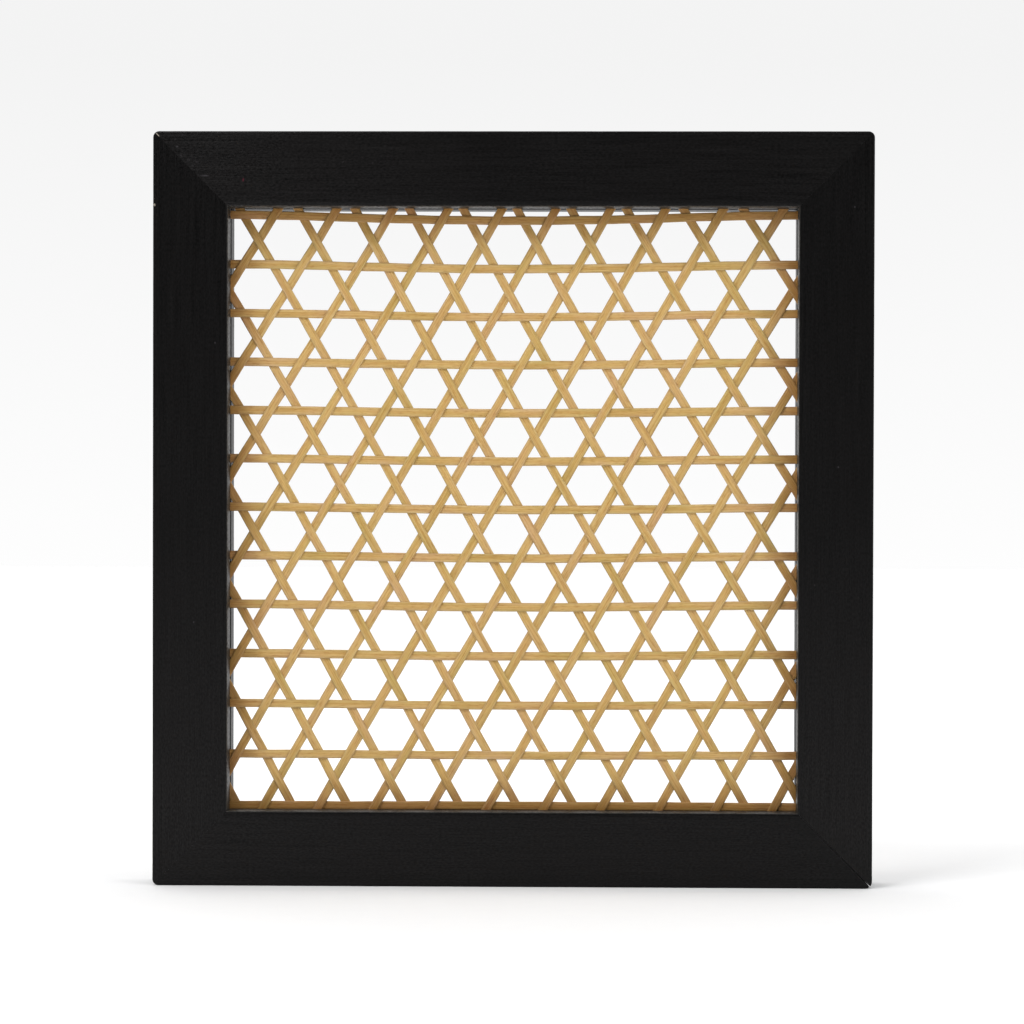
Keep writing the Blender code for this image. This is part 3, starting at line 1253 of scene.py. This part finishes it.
# %% [markdown]
# The two attributes that the bamboo's material reads are filled while the ribbon is swept: fibre,
# and from_frame, which is how far a point is clear of the frame. Splitting by hand leaves the
# widths uneven by up to a tenth of a millimetre.

# %% Weave the ribbons
RIBBON_STEP = 1.0 * MM
SLOPE_STEP = MM / 4
WIDTH_SPREAD = 0.03
EDGE_WOBBLE, EDGE_RUN = 0.05 * MM, 7 * MM
SHARP_CUT = math.radians(60)
WIDTHS_SEED = 13


def sweep_ribbon(strip, half_width, count):
    """The points along a strip, with their fibre and from_frame attributes."""
    points, fibres, clear_of_frame = [], [], []
    for distance in np.linspace(strip.start, strip.end, count + 1):
        x, z = strip.at(distance)
        heading = strip.heading(distance)
        height = height_at(strip, distance)
        rise = height_at(strip, distance + SLOPE_STEP) - height_at(strip, distance - SLOPE_STEP)
        slope = rise / (2 * SLOPE_STEP)
        ahead = Vector((heading[0], 0, heading[1]))
        sideways = Vector((-heading[1], 0, heading[0]))
        outward = (Vector((0, -1, 0)) - ahead * slope).normalized()
        middle = Vector((x, -height, z)) + PANEL_MIDDLE
        for wide, thick in superellipse():
            wobble = EDGE_WOBBLE * noise.noise(Vector((distance / EDGE_RUN, wide, strip.seed)))
            across = wide * (half_width + wobble)
            points.append(middle + across * sideways + thick * STRIP_THICKNESS / 2 * outward)
            fibres.append((distance, across, strip.seed))
            clear_of_frame.append(min(OPENING_WIDTH / 2 - abs(x), OPENING_HEIGHT / 2 - abs(z)))
    return points, fibres, clear_of_frame


def ribbon_faces(count):
    """The faces between the rings of points, and the two cut ends."""
    faces = []
    for ring in range(count):
        for number in range(SECTION_POINTS):
            here = ring * SECTION_POINTS + number
            beside = ring * SECTION_POINTS + (number + 1) % SECTION_POINTS
            faces.append((here, beside, beside + SECTION_POINTS, here + SECTION_POINTS))
    faces.append(tuple(range(SECTION_POINTS)))
    faces.append(tuple(range(count * SECTION_POINTS, (count + 1) * SECTION_POINTS)))
    return faces


def add_ribbon(strip, dice):
    """Builds one strip of bamboo and lets it stand for its solid."""
    half_width = STRIP_WIDTH / 2 * (1 + dice.uniform(-WIDTH_SPREAD, WIDTH_SPREAD))
    count = max(2, round((strip.end - strip.start) / RIBBON_STEP))
    points, fibres, clear_of_frame = sweep_ribbon(strip, half_width, count)
    data = bpy.data.meshes.new(f"bamboo_{strip.name}")
    data.from_pydata(points, [], ribbon_faces(count))
    fibre = data.attributes.new("fibre", "FLOAT_VECTOR", "POINT")
    fibre.data.foreach_set("vector", np.array(fibres, dtype=np.float32).ravel())
    data.attributes.new("from_frame", "FLOAT", "POINT").data.foreach_set("value", clear_of_frame)
    mesh = bmesh.new()
    mesh.from_mesh(data)
    bmesh.ops.recalc_face_normals(mesh, faces=mesh.faces)
    mesh.to_mesh(data)
    mesh.free()
    data.shade_smooth()
    data.set_sharp_from_angle(angle=SHARP_CUT)
    data.materials.append(bamboo)
    ribbon = bpy.data.objects.new(f"bamboo_{strip.name}", data)
    scene.collection.objects.link(ribbon)
    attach(ribbon, "root")
    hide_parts(strip.name)
    return ribbon


dice = random.Random(WIDTHS_SEED)
ribbons = [add_ribbon(strip, dice) for strip in strips]
print(f"{sum(len(ribbon.data.polygons) for ribbon in ribbons)} faces in the weave")
